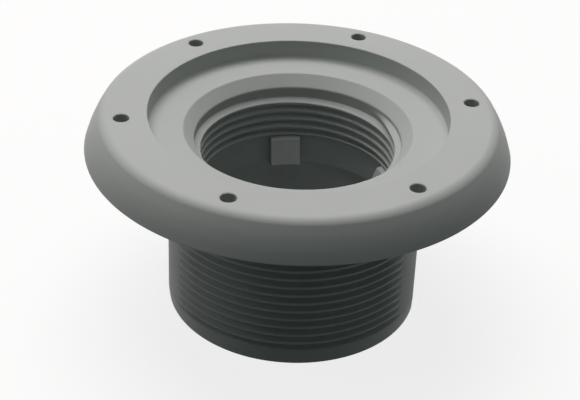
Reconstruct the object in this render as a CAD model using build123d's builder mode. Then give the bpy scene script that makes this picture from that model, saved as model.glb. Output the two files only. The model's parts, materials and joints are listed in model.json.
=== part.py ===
from build123d import *
import math
import os

# Pool inlet fitting, moulded as one piece. It stands on the spigot's end at z = 0,
# with the water way along +Z and the flange's face at the top.

# Overall sizes
overall_height = 50.0
flange_diameter = 98.6
flange_depth = 9.0  # from the face down to the seat behind the flange
rim_shoulder_inset = 1.4  # in from the flange's edge
rim_shoulder_height = 4.3  # above the back edge, where the side leans further in
rim_top_inset = 4.1  # in from the flange's edge, where the side would meet the face
rim_round = 2.5

# Face recess and seat
recess_diameter = 69.3
recess_depth = 4.6
seat_inner_diameter = 53.1
seat_cone_depth = 2.7

# Female thread for the insert
pitch = 2.209
flank_angle = 30.0
female_minor_diameter = 45.1
female_groove_depth = 1.35
thread_side_clearance = 0.05
lead_in_depth = 10.05  # from the face down to the top of the lead-in
lead_in_angle = 32.0
female_thread_end = 19.8  # from the face down to the end of the thread
female_start_angle = 90.0
thread_foot = 0.35  # plain rib left between the lowest groove and the step

# Plain bore, stop lugs and pipe socket
plain_bore_diameter = 46.7
stop_depth = 28.1  # from the face down to the lugs' feet, where the pipe stops
stop_cone_height = 0.8  # the step above the socket is a short cone
lug_count = 4
lug_angle = 8.0
lug_width = 7.0
lug_reach = 1.85
lug_top_gap = 0.6  # from the end of the thread down to the lugs
lug_top_fall = 0.15
socket_diameter = 48.3
socket_entry_chamfer = 0.8

# Spigot, at the crest diameter of its fine thread
spigot_diameter = 60.5
plain_end_length = 4.0
plain_end_taper = 0.4
spigot_end_chamfer = 0.25

# Flats along the mould's parting line
flat_distance = 29.4
flat_angle = -2.0

# Screw holes and the cored back of the flange
screw_count = 6
screw_circle_diameter = 81.2
screw_angle = 9.6
screw_hole_diameter = 3.6
boss_diameter = 8.2
channel_inner_diameter = 75.4
channel_rim_wall = 5.0  # left between the channel and the flange's edge
channel_depth = 5.3

# Heights and radii that follow from the sizes above
flange_radius = flange_diameter / 2
spigot_radius = spigot_diameter / 2
female_minor_radius = female_minor_diameter / 2
female_major_radius = female_minor_radius + female_groove_depth
guide_radius = female_major_radius + thread_side_clearance
lead_in_drop = (guide_radius - female_minor_radius) * math.tan(math.radians(lead_in_angle))
back_height = overall_height - flange_depth
recess_floor = overall_height - recess_depth
lead_in_top = overall_height - lead_in_depth
lead_in_foot = lead_in_top - lead_in_drop
thread_end_height = overall_height - female_thread_end
stop_height = overall_height - stop_depth
flank_slope = math.tan(math.radians(flank_angle))
margin = 1.0


def polar(radius, angle):
    return (radius * math.cos(math.radians(angle)), radius * math.sin(math.radians(angle)))


# One turn of the female groove, open inwards
female_reach = 0.3
female_half_mouth = (female_groove_depth + female_reach) * flank_slope
female_land = pitch - 2 * female_groove_depth * flank_slope
female_top_turn = lead_in_foot - female_land / 2 + pitch / 2
female_turns = math.ceil((female_top_turn - thread_end_height) / pitch) + 1
female_start_height = female_top_turn - female_turns * pitch
with BuildPart() as female_groove:
    with BuildLine() as female_path:
        female_helix = Helix(pitch, pitch, female_major_radius)
    with BuildSketch(Plane(origin=female_helix @ 0, x_dir=(1, 0, 0), z_dir=female_helix % 0)):
        Polygon(
            (0, 0),
            (-female_groove_depth - female_reach, female_half_mouth),
            (-female_groove_depth - female_reach, -female_half_mouth),
            align=None,
        )
    sweep(path=female_helix, is_frenet=True)

# Stop lug: a block on the plain bore's wall with a sloping top, drawn in the XZ plane
lug_wall_top = thread_end_height - lug_top_gap
lug_front_radius = plain_bore_diameter / 2 - lug_reach
with BuildPart() as stop_lug:
    with BuildSketch(Plane.XZ):
        with BuildLine():
            Polyline(
                (lug_front_radius, stop_height),
                (lug_front_radius, lug_wall_top - lug_top_fall),
                (plain_bore_diameter / 2 + margin, lug_wall_top),
                (plain_bore_diameter / 2 + margin, stop_height),
                close=True,
            )
        make_face()
    extrude(amount=lug_width / 2, both=True)

with BuildPart() as inlet_body:
    # Spigot outside: chamfered end, tapered plain end, then the crest of the thread
    with BuildSketch(Plane.XZ):
        with BuildLine():
            Polyline(
                (0, 0),
                (spigot_radius - plain_end_taper - spigot_end_chamfer, 0),
                (spigot_radius - plain_end_taper, spigot_end_chamfer),
                (spigot_radius, plain_end_length),
                (spigot_radius, back_height + margin),
                (0, back_height + margin),
                close=True,
            )
        make_face()
    revolve(axis=Axis.Z)
    for side in (0, 180):
        flat_plane = Plane(
            origin=(*polar(flat_distance, flat_angle + side), 0),
            z_dir=(*polar(1, flat_angle + side), 0),
        )
        split(bisect_by=flat_plane, keep=Keep.BOTTOM)

    # Flange: flat face, rounded edge and a side that leans in towards the face
    with BuildSketch(Plane.XZ):
        with BuildLine():
            Polyline(
                (0, back_height),
                (flange_radius, back_height),
                (flange_radius - rim_shoulder_inset, back_height + rim_shoulder_height),
                (flange_radius - rim_top_inset, overall_height),
                (0, overall_height),
                close=True,
            )
        make_face()
        rim_corner = vertices().group_by(Axis.Y)[-1].sort_by(Axis.X)[-1]
        fillet(rim_corner, rim_round)
    revolve(axis=Axis.Z)

    # Cored ring behind the flange, with a boss left round each screw hole
    with BuildSketch(Plane.XY.offset(back_height)):
        Circle(flange_radius - channel_rim_wall)
        Circle(channel_inner_diameter / 2, mode=Mode.SUBTRACT)
        with PolarLocations(screw_circle_diameter / 2, screw_count, start_angle=screw_angle):
            Circle(boss_diameter / 2, mode=Mode.SUBTRACT)
    extrude(amount=channel_depth, mode=Mode.SUBTRACT)

    # Upper water way: face recess, conical seat, guide bore, lead-in and threaded bore
    with BuildSketch(Plane.XZ):
        with BuildLine():
            Polyline(
                (0, overall_height + margin),
                (recess_diameter / 2, overall_height + margin),
                (recess_diameter / 2, recess_floor),
                (seat_inner_diameter / 2, recess_floor),
                (guide_radius, recess_floor - seat_cone_depth),
                (guide_radius, lead_in_top),
                (female_minor_radius, lead_in_foot),
                (female_minor_radius, female_start_height - pitch),
                (0, female_start_height - pitch),
                close=True,
            )
        make_face()
    revolve(axis=Axis.Z, mode=Mode.SUBTRACT)
    with Locations(*[(0, 0, female_start_height + turn * pitch) for turn in range(female_turns)]):
        add(female_groove.part, rotation=(0, 0, female_start_angle), mode=Mode.SUBTRACT)

    # The bore below the thread is closed first, so that the thread ends level above a plain rib
    with BuildSketch(Plane.XY.offset(thread_end_height + thread_foot)):
        Circle(female_major_radius + margin)
    extrude(amount=stop_height - thread_end_height - thread_foot)

    # Lower water way: plain bore, stop step and pipe socket
    with BuildSketch(Plane.XZ):
        with BuildLine():
            Polyline(
                (0, thread_end_height + thread_foot),
                (female_minor_radius, thread_end_height + thread_foot),
                (female_minor_radius, thread_end_height),
                (plain_bore_diameter / 2, thread_end_height),
                (plain_bore_diameter / 2, stop_height + stop_cone_height),
                (socket_diameter / 2, stop_height),
                (socket_diameter / 2, socket_entry_chamfer),
                (socket_diameter / 2 + socket_entry_chamfer, 0),
                (socket_diameter / 2 + socket_entry_chamfer, -margin),
                (0, -margin),
                close=True,
            )
        make_face()
    revolve(axis=Axis.Z, mode=Mode.SUBTRACT)
    with PolarLocations(0, lug_count, start_angle=lug_angle):
        add(stop_lug.part)

    # Screw holes through the bosses
    with BuildSketch(Plane.XY.offset(overall_height)):
        with PolarLocations(screw_circle_diameter / 2, screw_count, start_angle=screw_angle):
            Circle(screw_hole_diameter / 2)
    extrude(amount=-flange_depth, mode=Mode.SUBTRACT)

inlet_body.part.label = "inlet_body"
os.makedirs("parts", exist_ok=True)
export_step(inlet_body.part, "parts/inlet_body.step")
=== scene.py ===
import bmesh
import bpy
import json
import math
from mathutils import Matrix, Vector


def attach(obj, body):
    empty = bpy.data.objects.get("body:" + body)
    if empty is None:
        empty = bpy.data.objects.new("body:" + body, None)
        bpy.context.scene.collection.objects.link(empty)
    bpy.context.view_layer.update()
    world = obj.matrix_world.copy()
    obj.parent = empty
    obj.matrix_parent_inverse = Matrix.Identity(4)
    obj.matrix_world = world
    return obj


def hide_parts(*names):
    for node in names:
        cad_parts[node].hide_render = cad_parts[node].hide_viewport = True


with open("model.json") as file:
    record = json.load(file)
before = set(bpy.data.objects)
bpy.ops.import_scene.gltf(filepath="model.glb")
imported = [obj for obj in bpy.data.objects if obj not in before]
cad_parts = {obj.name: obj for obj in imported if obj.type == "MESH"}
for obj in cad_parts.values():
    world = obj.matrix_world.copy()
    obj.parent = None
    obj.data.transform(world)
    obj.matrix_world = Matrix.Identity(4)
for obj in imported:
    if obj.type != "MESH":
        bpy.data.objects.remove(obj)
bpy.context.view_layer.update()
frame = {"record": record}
mm = 0.001
mounts = {mount["name"]: mount for mount in frame["record"]["mounts"]}


def mountSize(name, key):
    return mounts[name]["dims"][key]


def mountHeight(name):
    return mounts[name]["pos_m"][2] / mm


# Camera at the photograph's viewing angle
view = {
    "lens": 99.6,
    "elevation": 32.82,
    "roll": 2.33,
    "distance": 0.3806,
    "target": (-0.00125, 0, 0.02546),
}


def addCamera(values):
    elevation = math.radians(values["elevation"])
    backward = Vector((0, -math.cos(elevation), math.sin(elevation)))
    upward = Vector((0, math.sin(elevation), math.cos(elevation)))
    turn = Matrix.Rotation(math.radians(values["roll"]), 3, backward)
    across = turn @ Vector((1, 0, 0))
    upward = turn @ upward
    data = bpy.data.cameras.new("camera")
    data.lens = values["lens"]
    camera = bpy.data.objects.new("camera", data)
    place = Vector(values["target"]) + backward * values["distance"]
    camera.matrix_world = Matrix.Translation(place) @ Matrix((across, upward, backward)).transposed().to_4x4()
    bpy.context.scene.collection.objects.link(camera)
    bpy.context.scene.camera = camera


addCamera(view)
print("camera placed")

# The moulded body, in millimetres until it is finished
body = {
    "columns": 240,
    "cornerSteps": 3,
    "rimSteps": 6,
    "height": 50.0,
    "flangeRadius": 49.3,
    "backHeight": mountHeight("wall_seat"),
    "rimShoulder": (47.9, 45.3),
    "shoulderRound": 2.3,
    "rimTop": 45.2,
    "rimRound": 1.5,
    "recessRadius": 34.65,
    "recessFloor": 45.4,
    "seatRadius": 26.55,
    "guideTop": 42.7,
    "guideRadius": 23.95,
    "stepHeight": 30.2,
    "stopHeight": 21.9,
    "stopCone": 0.45,
    "plainBore": 23.35,
    "socketRadius": mountSize("pipe_socket", "r_mm"),
    "socketChamfer": 0.8,
    "plainEnd": 4.0,
    "endRadius": 29.85,
    "channelInner": 37.7,
    "channelOuter": 44.3,
    "channelRoof": 46.3,
    "sharpAngle": 42.0,
}
edgeRounds = {
    "spigotFoot": 0.35,
    "channelMouth": 0.3,
    "channelRoof": 0.4,
    "flangeBack": 0.35,
    "recessEdge": 0.25,
    "recessCorner": 0.7,
    "seatEdge": 0.3,
    "ribEdge": 0.08,
    "boreTop": 0.1,
    "stopEdge": 0.06,
    "stopCorner": 0.15,
    "socketEdge": 0.2,
    "socketMouth": 0.15,
    "spigotEnd": 0.3,
}
thread = {
    "pitch": 2.209,
    "minor": mountSize("insert_thread", "r_mm"),
    "major": 23.9,
    "crest": mountSize("nut_thread", "r_mm"),
    "root": 28.8,
    "flankAngle": 30.0,
    "innerFlankAngle": 33.0,
    "crestRound": 0.12,
    "rootRound": 0.16,
    "firstGroove": 4.95,  # height of the spigot's lowest groove at the front
    "topMargin": 0.5,  # from the end of each thread's surface to the edge above it
    "endFade": 0.5,
    "foot": 0.35,  # plain rib under the inner thread
    "footRow": 0.12,
}
innerRidge = {"backHeight": 39.06, "fadeStart": 14.0, "fadeEnd": 46.0}
flats = {"distance": 29.4, "angle": -2.0, "fadeStart": 29.0, "fadeEnd": 45.0, "innerReach": 0.2, "outerReach": 0.4}
seam = {"gap": 0.1, "ribGap": 0.05, "heightError": 0.001, "radiusError": 0.05, "merge": 0.002, "cut": 0.0001}


def smoothStep(low, high, value):
    t = min(max((value - low) / (high - low), 0), 1)
    return t * t * (3 - 2 * t)


# Open outline in the XZ plane from corners of radius, height and rounding
def drawOutline(bm, corners):
    verts = [bm.verts.new((radius, 0, height)) for radius, height, rounding in corners]
    for first, second in zip(verts, verts[1:]):
        bm.edges.new((first, second))
    for vert, (radius, height, rounding) in zip(verts, corners):
        if rounding:
            bmesh.ops.bevel(
                bm,
                geom=[vert],
                offset=rounding,
                offset_type="OFFSET",
                segments=body["cornerSteps" if rounding < 1 else "rimSteps"],
                profile=0.5,
                affect="VERTICES",
                material=-1,
            )


flatHalfAngle = math.degrees(math.acos(flats["distance"] / thread["crest"]))
startAngle = flats["angle"] + flatHalfAngle  # a column of faces then meets each flat's edge


def turnOutline(bm, rise=0):
    turned = Matrix.Rotation(math.radians(startAngle), 3, "Z")
    bmesh.ops.rotate(bm, verts=bm.verts[:], cent=(0, 0, 0), matrix=turned)
    bmesh.ops.spin(
        bm,
        geom=bm.verts[:] + bm.edges[:],
        cent=(0, 0, 0),
        axis=(0, 0, 1),
        dvec=(0, 0, rise / body["columns"]),
        angle=math.tau,
        steps=body["columns"],
        use_merge=not rise,
    )
    if rise:
        bmesh.ops.remove_doubles(bm, verts=bm.verts[:], dist=seam["merge"])


def cutLevel(bm, height, direction=1, clear=False):
    bmesh.ops.bisect_plane(
        bm,
        geom=bm.verts[:] + bm.edges[:] + bm.faces[:],
        dist=seam["cut"],
        plane_co=(0, 0, height),
        plane_no=(0, 0, direction),
        clear_outer=clear,
    )


# Helical surface between two heights; centreAt is a groove's height at the start angle
def threadSurface(low, high, centreAt, crest, root, flankAngle):
    pitch = thread["pitch"]
    halfMouth = abs(root - crest) * math.tan(math.radians(flankAngle))
    bm = bmesh.new()
    corners = []
    first = math.floor((low - centreAt) / pitch) - 2
    last = math.ceil((high - centreAt) / pitch) + 1
    for turn in range(first, last + 1):
        centre = centreAt + turn * pitch
        corners.append((crest, centre - halfMouth, thread["crestRound"]))
        corners.append((root, centre, thread["rootRound"]))
        corners.append((crest, centre + halfMouth, thread["crestRound"]))
    corners[0] = (crest, corners[0][1], 0)
    corners[-1] = (crest, corners[-1][1], 0)
    drawOutline(bm, corners)
    turnOutline(bm, pitch)
    cutLevel(bm, low, -1, True)
    cutLevel(bm, high, 1, True)
    return bm


def reshape(bm, newRadius):
    for vert in bm.verts:
        radius = math.hypot(vert.co.x, vert.co.y)
        angle = math.degrees(math.atan2(vert.co.y, vert.co.x))
        changed = newRadius(radius, angle, vert.co.z) / radius
        vert.co.x *= changed
        vert.co.y *= changed


def fromFlat(angle):
    away = abs((angle - flats["angle"] + 180) % 360 - 180)
    return min(away, 180 - away)


spigotTop = body["backHeight"] - thread["topMargin"]
grooveStart = thread["firstGroove"] + thread["pitch"] * (startAngle + 90) / 360
male = threadSurface(
    body["plainEnd"], spigotTop, grooveStart, thread["crest"], thread["root"], thread["flankAngle"]
)
for step in (1, 2, 3):
    cutLevel(male, body["plainEnd"] + thread["endFade"] * step / 3)
for step in (1, 2, 3):
    cutLevel(male, spigotTop - thread["endFade"] * step / 3)


# The grooves fade out beside the flats and at both ends
def maleRadius(radius, angle, height):
    depth = smoothStep(flats["fadeStart"], flats["fadeEnd"], fromFlat(angle))
    depth *= smoothStep(body["plainEnd"], body["plainEnd"] + thread["endFade"], height)
    depth *= smoothStep(spigotTop, spigotTop - thread["endFade"], height)
    return thread["crest"] - (thread["crest"] - radius) * depth


reshape(male, maleRadius)
print("spigot thread cut")

femaleLow = body["stepHeight"] + thread["foot"]
femaleHigh = body["guideTop"] - thread["topMargin"]
ridgeStart = innerRidge["backHeight"] + thread["pitch"] * (startAngle - 90) / 360
grooveStart = ridgeStart + thread["pitch"] / 2
female = threadSurface(
    femaleLow, femaleHigh, grooveStart, thread["minor"], thread["major"], thread["innerFlankAngle"]
)
for row in (1, 2):
    cutLevel(female, femaleLow + thread["footRow"] * row)


# The ridge runs up from below and fades into the guide bore's wall on its last turn
def femaleRadius(radius, angle, height):
    fromBack = (angle - 90) / 360
    turn = round((height - innerRidge["backHeight"]) / thread["pitch"] - fromBack)
    along = 360 * (turn + fromBack)
    kept = smoothStep(innerRidge["fadeEnd"] + 270, innerRidge["fadeStart"] + 270, along)
    depth = smoothStep(femaleLow, femaleLow + 2 * thread["footRow"], height)
    groove = thread["minor"] + (radius - thread["minor"]) * depth
    return body["guideRadius"] - (body["guideRadius"] - groove) * kept


reshape(female, femaleRadius)
print("inner thread cut")

# The rest of the body is turned: one outline above the threads and one below them
upper = bmesh.new()
drawOutline(
    upper,
    [
        (thread["crest"], spigotTop + seam["gap"], 0),
        (thread["crest"], body["backHeight"], edgeRounds["spigotFoot"]),
        (body["channelInner"], body["backHeight"], edgeRounds["channelMouth"]),
        (body["channelInner"], body["channelRoof"], edgeRounds["channelRoof"]),
        (body["channelOuter"], body["channelRoof"], edgeRounds["channelRoof"]),
        (body["channelOuter"], body["backHeight"], edgeRounds["channelMouth"]),
        (body["flangeRadius"], body["backHeight"], edgeRounds["flangeBack"]),
        (*body["rimShoulder"], body["shoulderRound"]),
        (body["rimTop"], body["height"], body["rimRound"]),
        (body["recessRadius"], body["height"], edgeRounds["recessEdge"]),
        (body["recessRadius"], body["recessFloor"], edgeRounds["recessCorner"]),
        (body["seatRadius"], body["recessFloor"], edgeRounds["seatEdge"]),
        (body["guideRadius"], body["guideTop"], edgeRounds["seatEdge"]),
        (body["guideRadius"], femaleHigh + seam["gap"], 0),
    ],
)
turnOutline(upper)
lower = bmesh.new()
drawOutline(
    lower,
    [
        (thread["minor"], femaleLow - seam["ribGap"], 0),
        (thread["minor"], body["stepHeight"], edgeRounds["ribEdge"]),
        (body["plainBore"], body["stepHeight"], edgeRounds["boreTop"]),
        (body["plainBore"], body["stopHeight"] + body["stopCone"], edgeRounds["stopEdge"]),
        (body["socketRadius"], body["stopHeight"], edgeRounds["stopCorner"]),
        (body["socketRadius"], body["socketChamfer"], edgeRounds["socketEdge"]),
        (body["socketRadius"] + body["socketChamfer"], 0, edgeRounds["socketMouth"]),
        (body["endRadius"], 0, edgeRounds["spigotEnd"]),
        (thread["crest"], body["plainEnd"] - seam["gap"], 0),
    ],
)
turnOutline(lower)
print("flange and bore turned")

bm = bmesh.new()
for part in (male, female, upper, lower):
    mesh = bpy.data.meshes.new("part")
    part.to_mesh(mesh)
    part.free()
    bm.from_mesh(mesh)
    bpy.data.meshes.remove(mesh)


def onLoop(vert, height, radius):
    heightError = abs(vert.co.z - height)
    radiusError = abs(math.hypot(vert.co.x, vert.co.y) - radius)
    return heightError < seam["heightError"] and radiusError < seam["radiusError"]


def openLoop(height, radius):
    return [edge for edge in bm.edges if edge.is_boundary and all(onLoop(v, height, radius) for v in edge.verts)]


joints = [
    (thread["crest"], spigotTop, spigotTop + seam["gap"]),
    (thread["crest"], body["plainEnd"], body["plainEnd"] - seam["gap"]),
    (body["guideRadius"], femaleHigh, femaleHigh + seam["gap"]),
    (thread["minor"], femaleLow, femaleLow - seam["ribGap"]),
]
for radius, threadEdge, turnedEdge in joints:
    loops = openLoop(threadEdge, radius), openLoop(turnedEdge, radius)
    print("joined", [len(loop) for loop in loops])
    bmesh.ops.bridge_loops(bm, edges=loops[0] + loops[1])


# The two flats on the spigot
def cutFlats(bm):
    turned = Matrix.Rotation(math.radians(flats["angle"]), 3, "Z")
    inner = thread["root"] - flats["innerReach"]
    outer = thread["crest"] + flats["outerReach"]
    for vert in bm.verts:
        radius = math.hypot(vert.co.x, vert.co.y)
        if inner < radius < outer and vert.co.z < body["backHeight"] + seam["heightError"]:
            limit = flats["distance"] + max(radius - thread["crest"], 0)
            if vert.co.z < body["plainEnd"]:
                limit = flats["distance"] + min(radius - body["endRadius"], 0)
            local = turned.transposed() @ vert.co
            if abs(local.x) > limit:
                local.x = math.copysign(limit, local.x)
                vert.co = turned @ local


cutFlats(bm)
print("open edges left", sum(not edge.is_manifold for edge in bm.edges))


# Mesh object in metres from a mesh drawn in millimetres
def finishMesh(bm, name):
    bmesh.ops.recalc_face_normals(bm, faces=bm.faces[:])
    bmesh.ops.scale(bm, vec=(mm, mm, mm), verts=bm.verts[:])
    mesh = bpy.data.meshes.new(name)
    bm.to_mesh(mesh)
    bm.free()
    mesh.shade_smooth()
    made = bpy.data.objects.new(name, mesh)
    bpy.context.scene.collection.objects.link(made)
    return made


moulding = finishMesh(bm, "inlet_moulding")
print("body joined,", len(moulding.data.polygons), "faces")

# Stop lugs, screw bosses and screw holes, joined to the body and cut from it
lug = {
    "angles": (17.0, 98.0, 197.0, 278.0),
    "width": 7.3,
    "topReach": 1.8,
    "footReach": 4.1,
    "topGap": 0.1,
    "topFall": 0.54,
    "footRise": 1.5,
    "wallOverlap": 0.4,
    "steps": 6,
    "round": 0.25,
    "roundSteps": 3,
    "sharpAngle": 40.0,
}
screw = {
    "start": 9.6,
    "steps": 48,
    "bossRadius": 4.1,
    "bossRound": 0.3,
    "bossOverlap": 0.8,
    "mouthRound": 0.18,
    "holeMargin": 1.0,
}


def repeatAround(bm, angles):
    first = bm.verts[:] + bm.edges[:] + bm.faces[:]
    for angle in angles[1:]:
        made = bmesh.ops.duplicate(bm, geom=first)["geom"]
        verts = [item for item in made if isinstance(item, bmesh.types.BMVert)]
        turn = Matrix.Rotation(math.radians(angle - angles[0]), 3, "Z")
        bmesh.ops.rotate(bm, verts=verts, cent=(0, 0, 0), matrix=turn)
    turn = Matrix.Rotation(math.radians(angles[0]), 3, "Z")
    bmesh.ops.rotate(bm, verts=bm.verts[:], cent=(0, 0, 0), matrix=turn)


# Wedges on the plain bore's wall, with fronts bent to run round the bore's axis
def makeLugs(values):
    bm = bmesh.new()
    wall = body["plainBore"] + values["wallOverlap"]
    top = body["stepHeight"] - values["topGap"]
    side = [
        (body["plainBore"] - values["footReach"], body["stopHeight"] + values["footRise"]),
        (body["plainBore"] - values["topReach"], top - values["topFall"]),
        (wall, top),
        (wall, body["stopHeight"]),
    ]
    outline = bm.faces.new([bm.verts.new((x, -values["width"] / 2, z)) for x, z in side])
    made = bmesh.ops.extrude_face_region(bm, geom=[outline])["geom"]
    verts = [item for item in made if isinstance(item, bmesh.types.BMVert)]
    bmesh.ops.translate(bm, verts=verts, vec=(0, values["width"], 0))
    lengthwise = [edge for edge in bm.edges if abs(edge.verts[0].co.y - edge.verts[1].co.y) > 1]
    bmesh.ops.subdivide_edges(bm, edges=lengthwise, cuts=values["steps"] - 1, use_grid_fill=True)
    for vert in bm.verts:
        vert.co.x = math.sqrt(vert.co.x ** 2 - vert.co.y ** 2)
    edges = [
        edge
        for edge in bm.edges
        if min(math.hypot(v.co.x, v.co.y) for v in edge.verts) < body["plainBore"]
        and edge.calc_face_angle() > math.radians(values["sharpAngle"])
    ]
    bmesh.ops.bevel(
        bm,
        geom=edges,
        offset=values["round"],
        offset_type="OFFSET",
        segments=values["roundSteps"],
        profile=0.5,
        affect="EDGES",
        material=-1,
    )
    repeatAround(bm, values["angles"])
    return finishMesh(bm, "lugs")


# One round post for each screw, from its outline
def makePosts(name, corners):
    bm = bmesh.new()
    drawOutline(bm, corners)
    bmesh.ops.spin(
        bm,
        geom=bm.verts[:] + bm.edges[:],
        cent=(0, 0, 0),
        axis=(0, 0, 1),
        angle=math.tau,
        steps=screw["steps"],
        use_merge=True,
    )
    bmesh.ops.remove_doubles(bm, verts=bm.verts[:], dist=seam["cut"])
    bmesh.ops.translate(bm, verts=bm.verts[:], vec=(mountSize("screw_holes", "pcd_mm") / 2, 0, 0))
    count = mountSize("screw_holes", "count")
    repeatAround(bm, [screw["start"] + 360 * hole / count for hole in range(count)])
    return finishMesh(bm, name)


bossTop = body["channelRoof"] + screw["bossOverlap"]
bosses = makePosts(
    "bosses",
    [
        (0, body["backHeight"], 0),
        (screw["bossRadius"], body["backHeight"], screw["bossRound"]),
        (screw["bossRadius"], bossTop, 0),
        (0, bossTop, 0),
    ],
)
holeRadius = mountSize("screw_holes", "hole_r_mm")
mouthRadius = holeRadius + screw["mouthRound"]
holes = makePosts(
    "holes",
    [
        (0, body["backHeight"] - screw["holeMargin"], 0),
        (holeRadius, body["backHeight"] - screw["holeMargin"], 0),
        (holeRadius, body["height"] - screw["mouthRound"], 0),
        (mouthRadius, body["height"], 0),
        (mouthRadius, body["height"] + screw["holeMargin"], 0),
        (0, body["height"] + screw["holeMargin"], 0),
    ],
)
lugs = makeLugs(lug)
for tool, operation in ((lugs, "UNION"), (bosses, "UNION"), (holes, "DIFFERENCE")):
    change = moulding.modifiers.new(tool.name, "BOOLEAN")
    change.operation = operation
    change.solver = "MANIFOLD"
    change.object = tool
bpy.context.view_layer.update()
finished = bpy.data.meshes.new_from_object(moulding.evaluated_get(bpy.context.evaluated_depsgraph_get()))
moulding.modifiers.clear()
moulding.data = finished
finished.shade_smooth()
finished.set_sharp_from_angle(angle=math.radians(body["sharpAngle"]))
weighted = moulding.modifiers.new("weighted normals", "WEIGHTED_NORMAL")
weighted.keep_sharp = True
for tool in (lugs, bosses, holes):
    bpy.data.objects.remove(tool)
print("lugs, bosses and holes made,", len(finished.polygons), "faces")


# Shader maths written as Python expressions
class Socket:
    def __init__(self, material, link):
        self.material = material
        self.link = link

    def combine(self, operation, other, clamp=False):
        settings = {"operation": operation, "use_clamp": clamp}
        return self.material.node("ShaderNodeMath", settings, {0: self, 1: other})["Value"]

    def __add__(self, other):
        return self.combine("ADD", other)

    def __mul__(self, other):
        return self.combine("MULTIPLY", other)

    __radd__ = __add__
    __rmul__ = __mul__


class Material:
    def __init__(self, name, data=None):
        self.data = data or bpy.data.materials.new(name)
        self.data.use_nodes = True
        self.tree = self.data.node_tree
        self.tree.nodes.clear()

    def node(self, kind, settings=None, inputs=None):
        made = self.tree.nodes.new(kind)
        for key, value in (settings or {}).items():
            setattr(made, key, value)
        for key, value in (inputs or {}).items():
            if isinstance(value, Socket):
                self.tree.links.new(value.link, made.inputs[key])
            else:
                made.inputs[key].default_value = value
        return {socket.name: Socket(self, socket) for socket in made.outputs if socket.enabled}

    def mixColour(self, factor, first, second):
        inputs = {0: factor, 6: first, 7: second}
        return self.node("ShaderNodeMix", {"data_type": "RGBA"}, inputs)["Result"]

    # One for rays that show a surface directly, by reflection or by transmission
    def seenRay(self):
        path = self.node("ShaderNodeLightPath")
        return (path["Is Camera Ray"] + path["Is Glossy Ray"]).combine("ADD", path["Is Transmission Ray"], clamp=True)


plastic = {
    "colour": (0.41, 0.442, 0.432),
    "shift": 0.035,
    "roughness": 0.5,
    "specular": 0.25,
    "roughnessShift": 0.08,
    "mottleScale": 55.0,
    "mottleDetail": 3.0,
    "flowScale": 160.0,
    "flowDetail": 2.0,
    "grainScale": 2600.0,
    "grainDetail": 2.0,
    "grainHeight": 0.000012,
    "grainStrength": 0.6,
    "noiseRoughness": 0.55,
}


def greyPlastic(values):
    material = Material("grey_plastic")
    place = material.node("ShaderNodeTexCoord")["Object"]

    def noise(name):
        inputs = {
            "Vector": place,
            "Scale": values[name + "Scale"],
            "Detail": values[name + "Detail"],
            "Roughness": values["noiseRoughness"],
        }
        return material.node("ShaderNodeTexNoise", {}, inputs)["Fac"]

    def shade(factor):
        return tuple(channel * factor for channel in values["colour"]) + (1,)

    colour = material.mixColour(noise("mottle"), shade(1 - values["shift"]), shade(1 + values["shift"]))
    lowest = values["roughness"] - values["roughnessShift"] / 2
    roughness = noise("flow") * values["roughnessShift"] + lowest
    relief = {"Height": noise("grain"), "Strength": values["grainStrength"], "Distance": values["grainHeight"]}
    bump = material.node("ShaderNodeBump", {}, relief)["Normal"]
    shader = material.node(
        "ShaderNodeBsdfPrincipled",
        {},
        {"Base Color": colour, "Roughness": roughness, "Normal": bump, "Specular IOR Level": values["specular"]},
    )["BSDF"]
    material.node("ShaderNodeOutputMaterial", {}, {"Surface": shader})
    return material.data


finished.materials.clear()
finished.materials.append(greyPlastic(plastic))
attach(moulding, "root")
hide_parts("inlet_body")
print("material given")

# Pale floor: near white where it is seen, darker in the light that it throws back
floorLook = {
    "size": 6.0,
    "seen": (0.97, 0.97, 0.97, 1),
    "bounce": (0.045, 0.06, 0.055, 1),
    "shadowLift": 0.82,
    "roughness": 0.9,
    "specular": 0.1,
}


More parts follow.
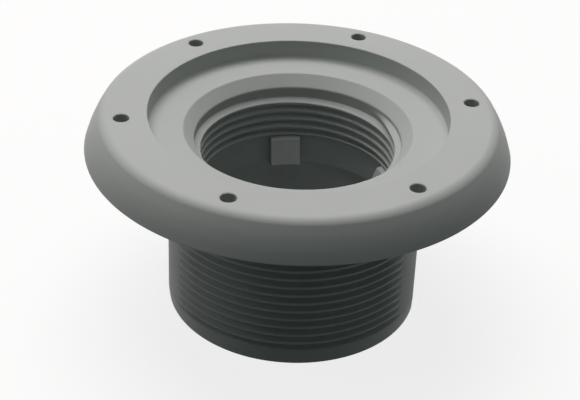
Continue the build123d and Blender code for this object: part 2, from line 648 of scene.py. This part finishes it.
def addFloor(values):
    bm = bmesh.new()
    bmesh.ops.create_grid(bm, x_segments=1, y_segments=1, size=values["size"])
    mesh = bpy.data.meshes.new("floor")
    bm.to_mesh(mesh)
    bm.free()
    floor = bpy.data.objects.new("floor", mesh)
    bpy.context.scene.collection.objects.link(floor)
    material = Material("floor")
    seen = material.seenRay()
    colour = material.mixColour(seen, values["bounce"], values["seen"])
    shaded = material.node(
        "ShaderNodeBsdfPrincipled",
        {},
        {"Base Color": colour, "Roughness": values["roughness"], "Specular IOR Level": values["specular"]},
    )["BSDF"]
    white = material.node("ShaderNodeEmission", {}, {"Color": (1, 1, 1, 1), "Strength": 1.0})["Emission"]
    mixed = material.node("ShaderNodeMixShader", {}, {0: seen * values["shadowLift"], 1: shaded, 2: white})["Shader"]
    material.node("ShaderNodeOutputMaterial", {}, {"Surface": mixed})
    mesh.materials.append(material.data)


addFloor(floorLook)

# Soft studio light from above
studio = {
    "ambient": 0.05,
    "ambientColour": (0.75, 1.0, 0.93, 1),
    "lampColour": (1.0, 0.93, 0.915),
    "aim": (0, 0, 0.03),
}
lights = [
    {"name": "overhead", "place": (-0.1, 0.29, 0.86), "size": (0.8, 0.6), "power": 8.15},
    {"name": "left", "place": (-0.8, 0.1, 0.35), "size": (0.4, 0.4), "power": 0.72},
    {"name": "right", "place": (0.8, 0.1, 0.35), "size": (0.4, 0.4), "power": 0.08},
    {"name": "front", "place": (0.05, -0.28, 0.9), "size": (0.3, 0.3), "power": 0.3},
]


def addLight(values):
    data = bpy.data.lights.new(values["name"], "AREA")
    data.shape = "RECTANGLE"
    data.size, data.size_y = values["size"]
    data.energy = values["power"]
    data.color = studio["lampColour"]
    lamp = bpy.data.objects.new(values["name"], data)
    aim = Vector(studio["aim"]) - Vector(values["place"])
    lamp.matrix_world = Matrix.Translation(values["place"]) @ aim.to_track_quat("-Z", "Y").to_matrix().to_4x4()
    bpy.context.scene.collection.objects.link(lamp)


def addWorld(values):
    world = bpy.data.worlds.new("studio")
    bpy.context.scene.world = world
    nodes = Material("studio", world)
    dim = {"Color": values["ambientColour"], "Strength": values["ambient"]}
    ambient = nodes.node("ShaderNodeBackground", {}, dim)["Background"]
    backdrop = nodes.node("ShaderNodeBackground", {}, {"Color": (1, 1, 1, 1), "Strength": 1.0})["Background"]
    mixed = nodes.node("ShaderNodeMixShader", {}, {0: nodes.seenRay(), 1: ambient, 2: backdrop})["Shader"]
    nodes.node("ShaderNodeOutputWorld", {}, {"Surface": mixed})


for lamp in lights:
    addLight(lamp)
addWorld(studio)
bpy.context.scene.view_settings.view_transform = "Standard"
print("light and floor placed")
